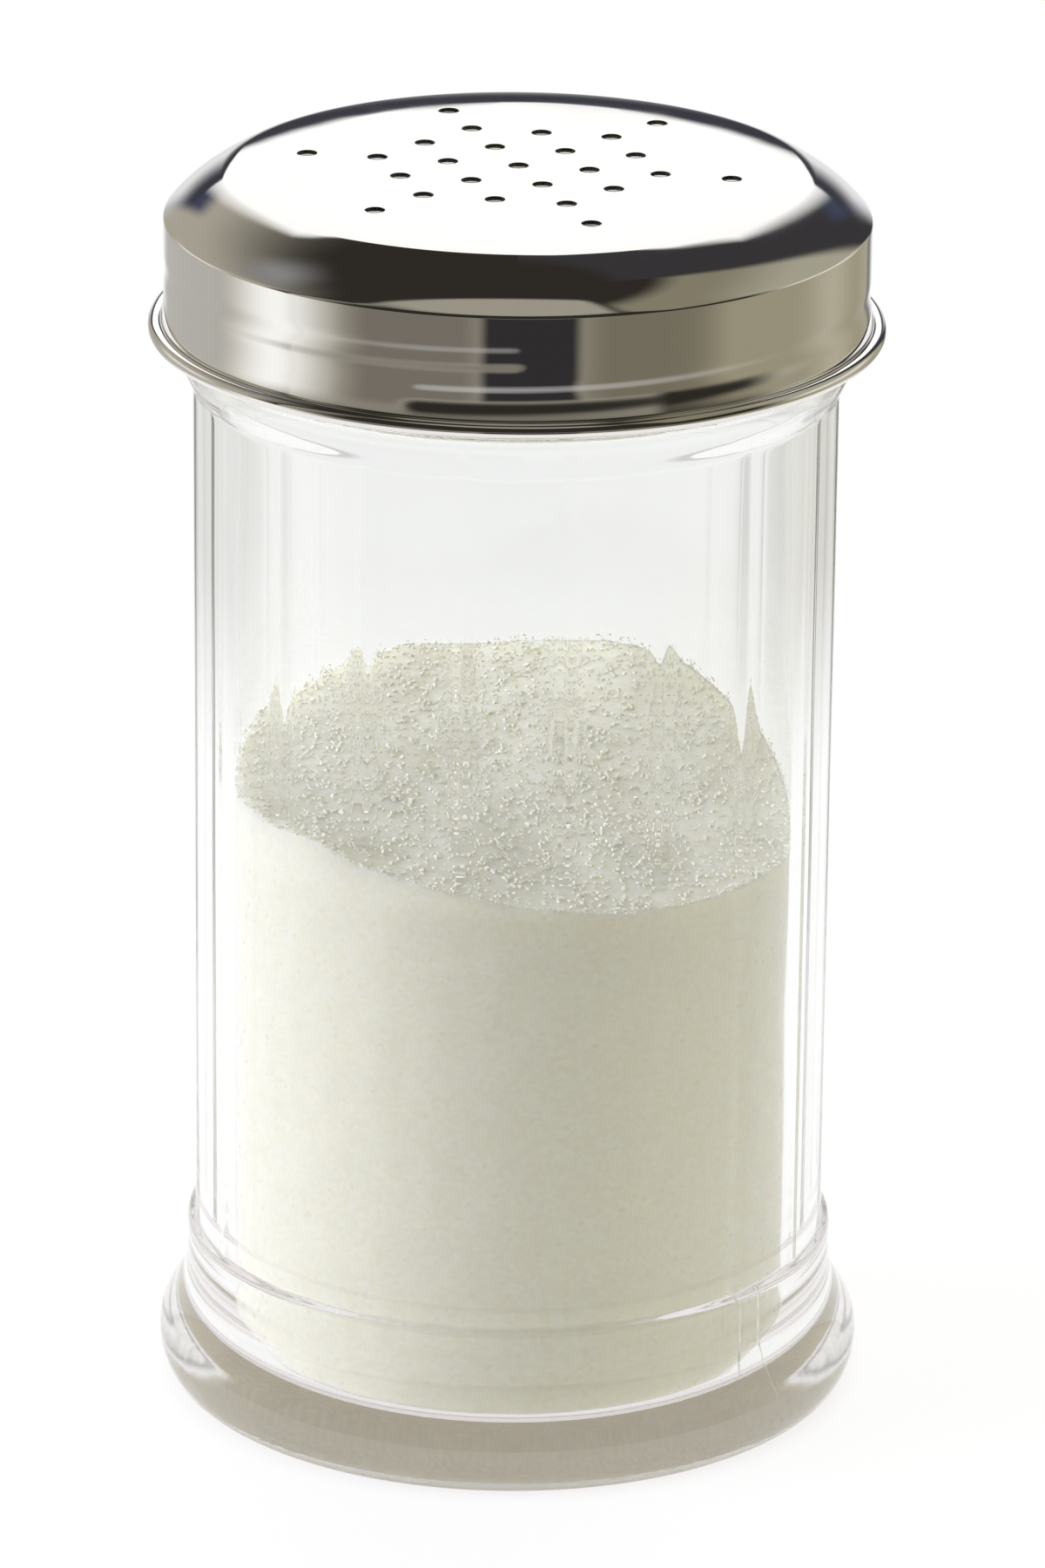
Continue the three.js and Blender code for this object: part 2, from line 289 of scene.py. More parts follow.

# %% [markdown]
# The shaker stands on a pale table. To the camera, and to rays that come by way of glass or steel,
# the table is almost white by itself, so no extra light is needed on the object, and a small share
# of true shading keeps the object's shadow. Light on its way to the sugar gets the true shading,
# except under the jar. The part under the jar is a painted shadow, a warm grey that glows for every
# ray through the glass, because the foot and the sugar's underside are seen by it, so it is also
# painted light on the sugar's underside. About 24 cm out the table turns see-through for mirrored
# and bent rays, because in the photograph the lid mirrors the room there.

# %% Floor
floor_radius = 3.0
table_reach = 0.24
table_fade = 0.05
glow_share = 0.90
cover_inner = 0.030
cover_outer = 0.038
under_jar_shadow_colour = (0.82, 0.765, 0.76, 1)
paint_colour = (0.86, 0.86, 0.85, 1)

floor_mesh = bpy.data.meshes.new("pale_table")
floor_shape = bmesh.new()
bmesh.ops.create_circle(floor_shape, cap_ends=True, segments=96, radius=floor_radius)
floor_shape.to_mesh(floor_mesh)
floor_shape.free()
pale_table = bpy.data.objects.new("pale_table", floor_mesh)
bpy.context.scene.collection.objects.link(pale_table)
pale_table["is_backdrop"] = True

table_material, tree, output = new_material("table_white")
ray = add_node(tree, "ShaderNodeLightPath").outputs
bent = calculate(tree, "MAXIMUM", ray["Is Glossy Ray"], ray["Is Transmission Ray"])
looked_at = calculate(tree, "MAXIMUM", ray["Is Camera Ray"], bent)
seen_directly = not_scattered(tree, ray)
paint = add_node(tree, "ShaderNodeBsdfDiffuse", Color=paint_colour)
place = add_node(tree, "ShaderNodeTexCoord")
reach = add_node(tree, "ShaderNodeVectorMath", operation="LENGTH", Vector=place.outputs["Object"])
# Under the jar the table glows a warm grey: a painted shadow of the jar, which is also painted light on
# the sugar's underside.
under_jar_shadow = ramp(tree, reach.outputs["Value"], cover_inner, cover_outer, 1.0, 0.0)
glow_colour = mix_colour(tree, under_jar_shadow, white, under_jar_shadow_colour)
glow = add_node(tree, "ShaderNodeEmission", Color=glow_colour)
glow_part = calculate(tree, "MULTIPLY", calculate(tree, "MAXIMUM", seen_directly, under_jar_shadow), glow_share)
surface = mix_shaders(tree, calculate(tree, "MULTIPLY", looked_at, glow_part), paint, glow)
far = ramp(tree, reach.outputs["Value"], table_reach - table_fade, table_reach + table_fade)
not_camera = calculate(tree, "SUBTRACT", bent, ray["Is Camera Ray"])
gone = calculate(tree, "MULTIPLY", far, calculate(tree, "MAXIMUM", not_camera, 0.0))
opening = add_node(tree, "ShaderNodeBsdfTransparent")
table_surface = mix_shaders(tree, gone, surface, opening)
put(tree, table_surface.outputs[0], output.inputs["Surface"])
pale_table.data.materials.append(table_material)

# %% [markdown]
# The sugar's left side is the brightest and its right side lies in warm shade, so the main lamp is
# a large soft one on the left. A weaker one behind and overhead lights the sugar's top, a warm one
# on the right lifts the shade, and a faint one in front evens the middle. They are hidden from the
# camera and from mirrored and bent rays: the steel and the glass show the room alone.

# %% Lamps
def soft_lamp(name, compass_angle, height_angle, distance, size, power, colour):
    """An area lamp that looks at the middle of the shaker."""
    data = bpy.data.lights.new(name, "AREA")
    data.shape = "SQUARE"
    data.size = size
    data.energy = power
    data.color = colour
    lamp = bpy.data.objects.new(name, data)
    outward = Vector((math.sin(compass_angle) * math.cos(height_angle),
                      -math.cos(compass_angle) * math.cos(height_angle),
                      math.sin(height_angle)))
    middle = Vector((0, 0, jar_high.z / 2))
    lamp.location = middle + distance * outward
    lamp.rotation_euler = outward.to_track_quat("Z", "Y").to_euler()
    lamp.visible_camera = False
    lamp.visible_glossy = False
    lamp.visible_transmission = False
    bpy.context.scene.collection.objects.link(lamp)


lamp_rows = [
    # name, compass and height angle in degrees, distance, size, power, colour
    ("left_key", -84, 30, 1.5, 1.0, 28, (1.0, 1.0, 1.15)),
    ("top_fill", 170, 65, 1.4, 1.0, 14.5, (1.0, 0.99, 0.96)),
    ("warm_fill", 80, 20, 1.5, 0.9, 8, (1.0, 0.95, 0.80)),
    ("front_fill", -8, 30, 1.6, 1.0, 3.7, (1.0, 0.96, 0.86)),
]
for name, side, tilt, distance, size, power, colour in lamp_rows:
    soft_lamp(name, side * degree, tilt * degree, distance, size, power, colour)
print(len(lamp_rows), "soft lamps light the shaker")

# %% [markdown]
# A jar that was pressed in a mould is a solid of revolution with flutes cut into it. Its outline is
# drawn as points of radius and height: straight stretches, arcs, and corners that are softened
# as fire-polished glass is. Every point must earn its place, because one full spin turns each
# into a ring of the mesh.

# %% Outline helpers
def stretch(start, end, steps):
    """Evenly spaced points after start, up to end."""
    return [tuple(Vector(start).lerp(Vector(end), (i + 1) / steps)) for i in range(steps)]


def arc(centre, across, up, start, end, steps):
    """Points on a round or oval arc."""
    angles = [start + (end - start) * i / steps for i in range(steps + 1)]
    return [(centre[0] + across * math.cos(a), centre[1] + up * math.sin(a)) for a in angles]


def soft_corner(before, corner, after, size, steps=5):
    """A corner that is rounded off over a size on each side."""
    middle = Vector(corner)
    start = middle + (Vector(before) - middle).normalized() * size
    end = middle + (Vector(after) - middle).normalized() * size
    shares = [i / steps for i in range(steps + 1)]
    return [tuple(start.lerp(middle, t).lerp(middle.lerp(end, t), t)) for t in shares]


def spin_outline(outline, segments):
    """Turns an outline of (radius, height) points once round the axis, as a closed mesh."""
    shape = bmesh.new()
    chain = [shape.verts.new((radius, 0, level)) for radius, level in outline]
    edges = [shape.edges.new(pair) for pair in zip(chain, chain[1:])]
    bmesh.ops.spin(shape, geom=chain + edges, cent=(0, 0, 0), axis=(0, 0, 1),
                   angle=full_turn, steps=segments, use_merge=True)
    bmesh.ops.remove_doubles(shape, verts=shape.verts, dist=same_place)
    bmesh.ops.recalc_face_normals(shape, faces=shape.faces)
    return shape


def finish_piece(name, shape, body, material, smooth=True):
    """Makes an object of a bmesh, smooths it and lets it ride on a body of the frame."""
    mesh = bpy.data.meshes.new(name)
    shape.to_mesh(mesh)
    shape.free()
    mesh.polygons.foreach_set("use_smooth", [smooth] * len(mesh.polygons))
    mesh.materials.append(material)
    piece = bpy.data.objects.new(name, mesh)
    bpy.context.scene.collection.objects.link(piece)
    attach(piece, body)
    print(name, "has", sum(len(face.vertices) - 2 for face in mesh.polygons), "triangles")
    return piece


# %% Sizes of the glass
flute_count = 20
flute_depth = 0.5 * mm
panel_depth = 0.27 * mm
ridge_share = 0.34
ridge_tip = 0.12
ring_proud = 0.55 * mm
body_radius = 32.9 * mm
wall = 3.6 * mm
base_thickness = 3.7 * mm
floor_corner = 3 * mm
inner_radius = body_radius - flute_depth - wall
ring_radius = body_radius + ring_proud
ring_top = 16.7 * mm
ring_bottom = 12.9 * mm
ring_slope = 0.9 * mm
foot_radius = jar_high.x
foot_round = 2.6 * mm
foot_middle = 4.2 * mm
foot_upper = 3.7 * mm
foot_turn = 46 * degree
base_radius = foot_radius - foot_round
base_ring_width = 4 * mm
recess_radius = base_radius - base_ring_width
recess_depth = 1.1 * mm
recess_slope = 1.4 * mm
recess_round = 0.5 * mm
standing_round = 0.4 * mm
ring_round = 0.4 * mm
ring_land = 1.5 * mm
under_share = 1.4
under_radius = body_radius - under_share * flute_depth
neck_step = 0.1 * mm
neck_radius = body_radius + neck_step
neck_round = 0.25 * mm
shoulder_ledge = 1 * mm
shoulder_radius = neck_radius + shoulder_ledge
shoulder_gap = 1 * mm
shoulder_top = lid_low.z - shoulder_gap
shoulder_drop = 0.6 * mm
shoulder_inset = 0.35 * mm
shoulder_rise = 5.6 * mm
rim_round = 1.2 * mm
jar_top = jar_high.z

# %% Outline of the glass
sweep_steps = 8
swell_steps = 22


def base_and_foot():
    recess_edge = (recess_radius - recess_slope, recess_depth)
    standing_edge = (recess_radius, 0)
    foot = (base_radius, foot_middle)
    lower = arc(foot, foot_round, foot_middle, -quarter_turn, 0, steps=10)
    upper = arc(foot, foot_round, foot_upper, 0, foot_turn, steps=7)[1:]
    sweep_radius, sweep_level = upper[-1]
    sweep = []
    for i in range(1, sweep_steps + 1):
        share = 1 - i / sweep_steps
        sweep.append((ring_radius + (sweep_radius - ring_radius) * share ** 2,
                      ring_bottom + (sweep_level - ring_bottom) * share))
    return ([(0, recess_depth), (recess_edge[0] / 2, recess_depth)]
            + soft_corner((0, recess_depth), recess_edge, standing_edge, recess_round)
            + soft_corner(recess_edge, standing_edge, (base_radius, 0), standing_round)
            + lower + upper + sweep)


def ring_and_body():
    ring_edge = (ring_radius, ring_top)
    under = (under_radius, ring_top + ring_slope)
    swell_start = shoulder_top - shoulder_drop - shoulder_rise
    corner = soft_corner((ring_radius, ring_bottom), ring_edge, under, ring_round)
    slope = stretch(corner[-1], under, steps=9)
    body = stretch(under, (under_radius, swell_start), steps=26)
    swell = []
    for i in range(1, swell_steps + 1):
        share = i / swell_steps
        swell.append((under_radius + (shoulder_radius - under_radius) * share ** 2 * (3 - 2 * share),
                      swell_start + shoulder_rise * share))
    return [(ring_radius, ring_bottom + ring_land)] + corner + slope + body + swell


def shoulder_and_neck():
    land_top = (shoulder_radius - shoulder_inset, shoulder_top)
    neck_foot = (neck_radius, shoulder_top)
    rim_base = jar_top - rim_round
    outer_rim = arc((neck_radius - rim_round, rim_base), rim_round, rim_round,
                    0, quarter_turn, steps=7)
    inner_rim = arc((inner_radius + rim_round, rim_base), rim_round, rim_round,
                    quarter_turn, math.pi, steps=7)
    top = arc((land_top[0], shoulder_top - shoulder_drop), shoulder_inset, shoulder_drop,
              0, quarter_turn, steps=8)[1:]
    foot = soft_corner(land_top, neck_foot, (neck_radius, jar_top), neck_round, steps=3)
    neck = stretch(foot[-1], (neck_radius, rim_base), steps=36)[:-1]
    return top + foot + neck + outer_rim + inner_rim


def inside():
    corner = (inner_radius - floor_corner, base_thickness + floor_corner)
    rim_base = jar_top - rim_round
    wall_side = stretch((inner_radius, rim_base), (inner_radius, corner[1]), steps=34)[:-1]
    round_part = arc(corner, floor_corner, floor_corner, 0, -quarter_turn, steps=9)
    bottom = stretch((corner[0], base_thickness), (0, base_thickness), steps=6)
    return wall_side + round_part + bottom


jar_outline = base_and_foot() + ring_and_body() + shoulder_and_neck() + inside()
print("The jar's outline has", len(jar_outline), "points")

# %% [markdown]
# The spin gives a plain round jar, and then its points are moved. A flute is a round panel between
# two narrow ridges, and the body's radius is whichever is larger, the flute's or the outline's,
# blended softly, so that the flutes end in scallops on the ring and under the shoulder. The rings'
# points are first drawn together at the ridges, where the light breaks most. The screw thread on
# the neck is moved out in the same way along its helix.

# %% Glass jar
flute_steps = 16
crowding = 0.6
blend_width = 0.06 * mm
inner_wave = 0.07 * mm
wave_length = 11 * mm
hair = 0.01 * mm
thread_lead = 4 * mm
thread_turns = 1.045
thread_start_angle = -106 * degree
thread_height = 1.22 * mm
thread_half_width = 0.95 * mm
thread_rise = 2.8 * mm
bead_radius = 0.8 * mm
bead_level = lid_low.z + bead_radius
lid_thread_level = bead_level + thread_rise
glass_thread_level = lid_thread_level + thread_lead / 2


def flute_radius(angle):
    turn = (angle + quarter_turn) * flute_count / full_turn
    from_ridge = math.hypot(1 - 2 * abs(turn - round(turn)), ridge_tip)
    ridge = max(1 - from_ridge / ridge_share, 0) ** 2
    return body_radius - panel_depth * (1 - ridge)


def crowd(angle):
    """Moves a point's angle towards the nearest ridge."""
    turn = (angle + quarter_turn) * flute_count / full_turn
    off_centre = 2 * (turn - round(turn))
    moved = off_centre + crowding * math.sin(math.pi * off_centre) / math.pi
    return (round(turn) + moved / 2) * full_turn / flute_count - quarter_turn


def larger(a, b):
    """The larger of two radii, with a soft change from one to the other."""
    return (a + b + math.sqrt((a - b) ** 2 + blend_width ** 2)) / 2


def thread_share(level, angle, start, half_width):
    """1 along the middle of a screw thread, falling to 0 at its sides and round its ends."""
    share = 0
    for turn in (-1, 0, 1, 2):
        along = angle + turn * full_turn - thread_start_angle
        nearest = min(max(along, 0), thread_turns * full_turn)
        middle = start + thread_lead * nearest / full_turn
        distance = math.hypot(level - middle, neck_radius * (along - nearest))
        share = max(share, math.cos(min(distance / half_width, 1) * quarter_turn) ** 2)
    return share


def shape_glass(shape):
    swell_top = shoulder_top - shoulder_drop
    for vert in shape.verts:
        radius = math.hypot(vert.co.x, vert.co.y)
        if radius < hair:
            continue
        angle = crowd(math.atan2(vert.co.y, vert.co.x))
        level = vert.co.z
        if radius > inner_radius + hair:
            if ring_top < level < swell_top:
                radius = larger(radius, flute_radius(angle))
            elif abs(radius - neck_radius) < hair:
                crest = thread_share(level, angle, glass_thread_level, thread_half_width)
                radius += thread_height * crest
        elif level > base_thickness + floor_corner:
            spot = Vector((radius * math.cos(angle), radius * math.sin(angle), level / 2))
            radius += inner_wave * noise.noise(spot / wave_length)
        vert.co = (radius * math.cos(angle), radius * math.sin(angle), level)


jar_shape = spin_outline(jar_outline, flute_count * flute_steps)
shape_glass(jar_shape)

# %% [markdown]
# Two effects are shared by the glass and the steel, so each is a shader node group, built once:
# slow waves that no pressed surface is free of, as a height for a Bump node, and the thin smudges
# that hands leave, as a mask for roughness.

# %% Shared surface effects
def new_group(name, inputs, outputs):
    """An empty shader node group with named values going in and out."""
    group = bpy.data.node_groups.new(name, "ShaderNodeTree")
    for label, default in inputs:
        socket = group.interface.new_socket(name=label, in_out="INPUT", socket_type="NodeSocketFloat")
        socket.default_value = default
    for label in outputs:
        group.interface.new_socket(name=label, in_out="OUTPUT", socket_type="NodeSocketFloat")
    return group, add_node(group, "NodeGroupInput"), add_node(group, "NodeGroupOutput")


def use_group(tree, group, **values):
    node = tree.nodes.new("ShaderNodeGroup")
    node.node_tree = group
    for name, value in values.items():
        put(tree, value, node.inputs[name])
    return node


def object_noise(tree, scale, detail, distortion=0.0):
    place = add_node(tree, "ShaderNodeTexCoord")
    return add_node(tree, "ShaderNodeTexNoise", Vector=place.outputs["Object"], Scale=scale,
                    Detail=detail, Distortion=distortion)


wave_detail = 1.5
smudge_detail = 5
smudge_bend = 0.6
smudge_start = 0.45
smudge_full = 0.75

soft_waves, source, sink = new_group("soft_waves", [("Scale", 60), ("Amount", 1)], ["Height"])
wave_noise = object_noise(soft_waves, source.outputs["Scale"], wave_detail)
put(soft_waves, calculate(soft_waves, "MULTIPLY", wave_noise.outputs[0], source.outputs["Amount"]),
    sink.inputs["Height"])

smudges, source, sink = new_group("smudges", [("Scale", 40), ("Clean", 0.05), ("Smudged", 0.2)],
                                  ["Roughness"])
smudge_noise = object_noise(smudges, source.outputs["Scale"], smudge_detail, smudge_bend)
touched = ramp(smudges, smudge_noise.outputs[0], smudge_start, smudge_full)
spread = calculate(smudges, "SUBTRACT", source.outputs["Smudged"], source.outputs["Clean"])
put(smudges, calculate(smudges, "MULTIPLY_ADD", touched, spread, source.outputs["Clean"]),
    sink.inputs["Roughness"])

# %% [markdown]
# Clear soda glass is a Principled shader with full transmission. Lamp light has to reach the sugar
# behind it, so for shadow rays the glass is simply see-through. The mould closed in two halves and
# left a hair-thin seam on the foot, which is a Bump along two opposite directions. The underside is
# stippled, as on most pressed glass, so it is rough and scatters what the foot lets through.

# %% Clear glass
seam_angle = -40 * degree
seam_half_width = 0.16 * mm
seam_top = 17 * mm
seam_bottom = 5 * mm
stipple_roughness = 0.3
stipple_scale = 900
stipple_top = recess_depth + 0.1 * mm
stipple_end = recess_depth + 0.5 * mm
seam_fade = 0.5 * mm
glass_relief = 0.06 * mm
glass_colour = (0.968, 0.975, 0.965, 1)
glass_index = 1.5
shadow_colour = (0.93, 0.94, 0.93, 1)


def seam_height(tree):
    """1 along the two seams of the mould, up the foot and the ring."""
    parts = object_parts(tree)
    across = calculate(tree, "ADD",
                       calculate(tree, "MULTIPLY", parts["X"], -math.sin(seam_angle)),
                       calculate(tree, "MULTIPLY", parts["Y"], math.cos(seam_angle)))
    off_seam = calculate(tree, "ABSOLUTE", across)
    ridge = ramp(tree, off_seam, 0.0, seam_half_width, 1.0, 0.0)
    span = band(tree, parts["Z"], seam_bottom, seam_top, seam_fade)
    return calculate(tree, "MULTIPLY", ridge, span)


def underside_mask(tree):
    """1 on the underside that the jar stands on, 0 everywhere above it."""
    return ramp(tree, object_parts(tree)["Z"], stipple_top, stipple_end, 1.0, 0.0)


clear_glass, tree, output = new_material("clear_glass")
ray = add_node(tree, "ShaderNodeLightPath").outputs
glass = add_node(tree, "ShaderNodeBsdfPrincipled", Base_Color=glass_colour, Transmission_Weight=1)
glass.inputs["IOR"].default_value = glass_index
under = underside_mask(tree)
put(tree, calculate(tree, "MULTIPLY", under, stipple_roughness), glass.inputs["Roughness"])
waves = use_group(tree, soft_waves, Scale=70, Amount=0.2)
relief = calculate(tree, "ADD", waves.outputs["Height"], seam_height(tree))
stipple = object_noise(tree, stipple_scale, 1)
relief = calculate(tree, "MULTIPLY_ADD", under, stipple.outputs[0], relief)
add_relief(tree, glass, relief, glass_relief)
passing = add_node(tree, "ShaderNodeBsdfTransparent", Color=shadow_colour)
either = mix_shaders(tree, ray["Is Shadow Ray"], glass, passing)
put(tree, either.outputs[0], output.inputs["Surface"])

jar_glass = finish_piece("jar_glass", jar_shape, "jar", clear_glass)
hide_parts("glass_jar")

# %% [markdown]
# The lid is one sheet of steel, drawn over a die: a flat crown, a rounded shoulder, a pressed edge
# line, a skirt with the thread pressed into it, and an outward curl at the rim, towards which the
# skirt widens a little. The dome and the skirt are spun from a closed outline of the sheet's two
# sides. The crown can't be spun, because of its holes, so it is filled between circles.

# %% Sizes of the lid
sheet = 0.45 * mm
skirt_depth = 11.2 * mm
dome_shoulder = 7.07 * mm
knee_radius = 2.6 * mm
knee_angle = 28.3 * degree
flank_radius = 19.2 * mm
edge_round = 0.2 * mm
inner_round = 0.2 * mm
inner_start = 0.3 * mm
skirt_drop = 0.2 * mm
curl_start = -150 * degree
crown_sag = 0.3 * mm
sag_power = 8
groove_depth = 0.12 * mm
groove_half_width = 1.8 * mm
flare_out = 0.19 * mm
flare_height = 3 * mm
crown_level = lid_high.z
band_radius = lid_high.x - 2 * bead_radius
band_inner = band_radius - sheet
edge_level = bead_level + skirt_depth
crown_radius = band_radius - dome_shoulder
knee_level = crown_level - knee_radius
knee_end = crown_radius + knee_radius * math.sin(knee_angle)
flank_centre = (knee_end - flank_radius * math.sin(knee_angle),
                knee_level - (flank_radius - knee_radius) * math.cos(knee_angle))
edge_angle = math.asin((band_radius - flank_centre[0]) / flank_radius)
curl_end = math.pi - math.acos((bead_radius - flare_out) / bead_radius)
flare_foot = bead_level + bead_radius * math.sin(curl_end)

# %% Outline of the lid
skirt_rows = 34
lid_segments = 320


def dome(inset):
    """The dome from its edge up to the flat crown, moved inwards by a thickness."""
    flank = arc(flank_centre, flank_radius - inset, flank_radius - inset,
                quarter_turn - edge_angle, quarter_turn - knee_angle, steps=18)
    knee = arc((crown_radius, knee_level), knee_radius - inset, knee_radius - inset,
               quarter_turn - knee_angle, quarter_turn, steps=12)
    return flank + knee[1:]


def lid_outline():
    """From the crown's underside down the inside, round the bead and up the outside."""
    curl_centre = (band_radius + bead_radius, bead_level)
    curl = arc(curl_centre, bead_radius, bead_radius, curl_start, curl_end, steps=20)
    inner_dome = dome(sheet)[::-1]
    inner_top = (band_inner, edge_level - sheet)
    skirt_foot = (band_inner, bead_level - skirt_drop)
    outer_foot = (band_radius, flare_foot)
    outer_dome = dome(0)
    edge = soft_corner(outer_foot, outer_dome[0], outer_dome[1], edge_round, steps=8)
    inner_edge = soft_corner(inner_dome[-2], inner_top, skirt_foot, inner_round, steps=3)
    return (inner_dome[:-1] + inner_edge
            + stretch((band_inner, edge_level - sheet - inner_start), skirt_foot, skirt_rows)
            + curl + [outer_foot] + stretch(outer_foot, edge[0], skirt_rows)
            + edge[1:] + outer_dome[1:])


def flare(level):
    """How far the skirt widens towards its foot, where it turns into the bead."""
    share = min(max((level - flare_foot) / flare_height, 0), 1)
    return flare_out * (1 - share) ** 2


def shape_skirt(shape):
    """Flares both sides of the skirt and presses the screw thread into them."""
    for vert in shape.verts:
        radius = math.hypot(vert.co.x, vert.co.y)
        on_sheet = min(abs(radius - band_radius), abs(radius - band_inner)) < same_place
        if not on_sheet or vert.co.z > edge_level - sheet:
            continue
        angle = math.atan2(vert.co.y, vert.co.x)
        pressed = groove_depth * thread_share(vert.co.z, angle, lid_thread_level, groove_half_width)
        moved = radius - pressed + flare(vert.co.z)
        vert.co.x *= moved / radius
        vert.co.y *= moved / radius


def crown_drop(radius):
    """How far the crown falls short of a flat one: more towards its border, and less past it."""
    if radius < crown_radius:
        return crown_sag * (radius / crown_radius) ** sag_power
    outside = min((radius - crown_radius) / dome_shoulder, 1)
    start_slope = sag_power * dome_shoulder / crown_radius
    return crown_sag * (1 - outside) ** 2 * (1 + (2 + start_slope) * outside)


def swell_crown(shape):
    """Lets the crown fall a little towards its border, so that it isn't a dead flat mirror."""
    for vert in shape.verts:
        radius = math.hypot(vert.co.x, vert.co.y)
        if vert.co.z > edge_level and radius < band_radius - edge_round:
            vert.co.z -= crown_drop(radius)


# %% [markdown]
# The holes lie on a lattice of equal triangles: one in the middle, two full rings round it, and the
# six corners of a third ring. A punch draws the sheet in a little, so each hole's edge is rounded on
# top. Around each hole runs a narrow flat ring of faces, which keeps the crown's mirror image calm,
# and along the crown's border run several, because the crown falls there.

# %% Punched crown
hole_radius = 1 * mm
hole_spacing = 7.2 * mm
hole_turn = -10.6 * degree
full_rings = 2
hole_segments = 24
hole_edge = 0.05 * mm
flat_border = 0.25 * mm
edge_shares = (0, 0.3, 0.65, 1)
border_rings = 8
border_step = 0.62 * mm
lid_weld = 0.004 * mm


def hole_places():
    places = []
    reach = full_rings + 1
    for a in range(-reach, reach + 1):
        for b in range(-reach, reach + 1):
            ring = max(abs(a), abs(b), abs(a + b))
            corner = ring == reach and a * b * (a + b) == 0
            if ring > full_rings and not corner:
                continue
            step = Vector((a + b / 2, b * math.sqrt(3) / 2))
            step.rotate(Matrix.Rotation(hole_turn, 2))
            places.append(step * hole_spacing)
    return places


def extend_ring(shape, edges, centre, radius_change, level_change, radius):
    """Adds a ring of faces to a circle of edges, wider or narrower and higher or lower."""
    added = bmesh.ops.extrude_edge_only(shape, edges=edges)["geom"]
    verts = [item for item in added if isinstance(item, bmesh.types.BMVert)]
    scale = (radius + radius_change) / radius
    middle = Matrix.Translation(-centre)
    bmesh.ops.scale(shape, vec=(scale, scale, 1), space=middle, verts=verts)
    bmesh.ops.translate(shape, vec=(0, 0, level_change), verts=verts)
    return [item for item in added if isinstance(item, bmesh.types.BMEdge)]


def circle_edges(shape, centre, segments, radius):
    """Adds a level circle to a mesh and gives its edges."""
    circle = bmesh.ops.create_circle(shape, segments=segments, radius=radius,
                                     matrix=Matrix.Translation(centre))
    return list({edge for vert in circle["verts"] for edge in vert.link_edges})


def fill_between(shape, edges):
    """Fills the face between a border and its holes with triangles."""
    bmesh.ops.triangle_fill(shape, use_beauty=True, use_dissolve=False, edges=edges,
                            normal=(0, 0, 1))
    return shape


def edge_drop(share):
    """How far a quarter circle has fallen at a share of its width."""
    return 1 - math.sqrt(1 - share ** 2)


def punched_plate():
    """The crown's top with its holes, whose walls reach down to the underside."""
    shape = bmesh.new()
    top = Vector((0, 0, crown_level))
    fill_edges = circle_edges(shape, top, lid_segments, crown_radius)
    for i in range(border_rings):
        radius = crown_radius - i * border_step
        fill_edges = extend_ring(shape, fill_edges, top, -border_step, 0, radius)
    flat_radius = hole_radius + hole_edge + flat_border
    for place in hole_places():
        centre = Vector((place.x, place.y, crown_level))
        edges = circle_edges(shape, centre, hole_segments, flat_radius)
        fill_edges += edges
        edges = extend_ring(shape, edges, centre, -flat_border, 0, flat_radius)
        radius = hole_radius + hole_edge
        for last_share, share in zip(edge_shares, edge_shares[1:]):
            inwards = hole_edge * (share - last_share)
            drop = hole_edge * (edge_drop(share) - edge_drop(last_share))
            edges = extend_ring(shape, edges, centre, -inwards, -drop, radius)
            radius -= inwards
        extend_ring(shape, edges, centre, 0, hole_edge - sheet, radius)
    return fill_between(shape, fill_edges)


def underside():
    """The crown's inner face, with the same holes."""
    shape = bmesh.new()
    level = crown_level - sheet
    fill_edges = circle_edges(shape, (0, 0, level), lid_segments, crown_radius)
    for place in hole_places():
        fill_edges += circle_edges(shape, (place.x, place.y, level), hole_segments, hole_radius)
    return fill_between(shape, fill_edges)


def add_shape(shape, other):
    """Adds one bmesh's faces to another."""
    carrier = bpy.data.meshes.new("carrier")
    other.to_mesh(carrier)
    other.free()
    shape.from_mesh(carrier)
    bpy.data.meshes.remove(carrier)


# %% Screw lid
lid_shape = spin_outline(lid_outline(), lid_segments)
shape_skirt(lid_shape)
add_shape(lid_shape, punched_plate())
add_shape(lid_shape, underside())
bmesh.ops.remove_doubles(lid_shape, verts=lid_shape.verts, dist=lid_weld)
swell_crown(lid_shape)
bmesh.ops.recalc_face_normals(lid_shape, faces=lid_shape.faces)
open_edges = sum(not edge.is_manifold for edge in lid_shape.edges)
print("The lid has", len(hole_places()), "holes and", open_edges, "open edges")

# %% [markdown]
# Polished stainless steel is a metal of a slightly warm grey with little roughness. Thin smudges and
# the slow waves of a pressed sheet keep its mirror image from being perfect. Where a punch tore
# through the sheet, the metal is rough and dull, and the walls of the holes are painted near black
# as shade. The narrow valley above the bead is painted dark as shade as well.

# %% Polished steel
# A near-black colour for the holes' walls, a painted shade; their roughness is the real dull cut.
hole_wall_shade_colour = (0.07, 0.062, 0.052, 1)
torn_roughness = 0.55
hole_top = 0.04 * mm
hole_foot = sheet - 0.03 * mm
hole_fade = 0.015 * mm
flat_share = 0.96
falling_share = 0.98
steel_colour = (0.80, 0.785, 0.76, 1)
steel_relief = 0.02 * mm
# A dark colour for the narrow valley above the bead, a painted shade.
valley_shade_colour = (0.06, 0.055, 0.05, 1)
valley_top = 0.65 * mm
valley_fade = 0.12 * mm
valley_inner = band_radius + 0.2 * mm
valley_outer = band_radius + 0.45 * mm


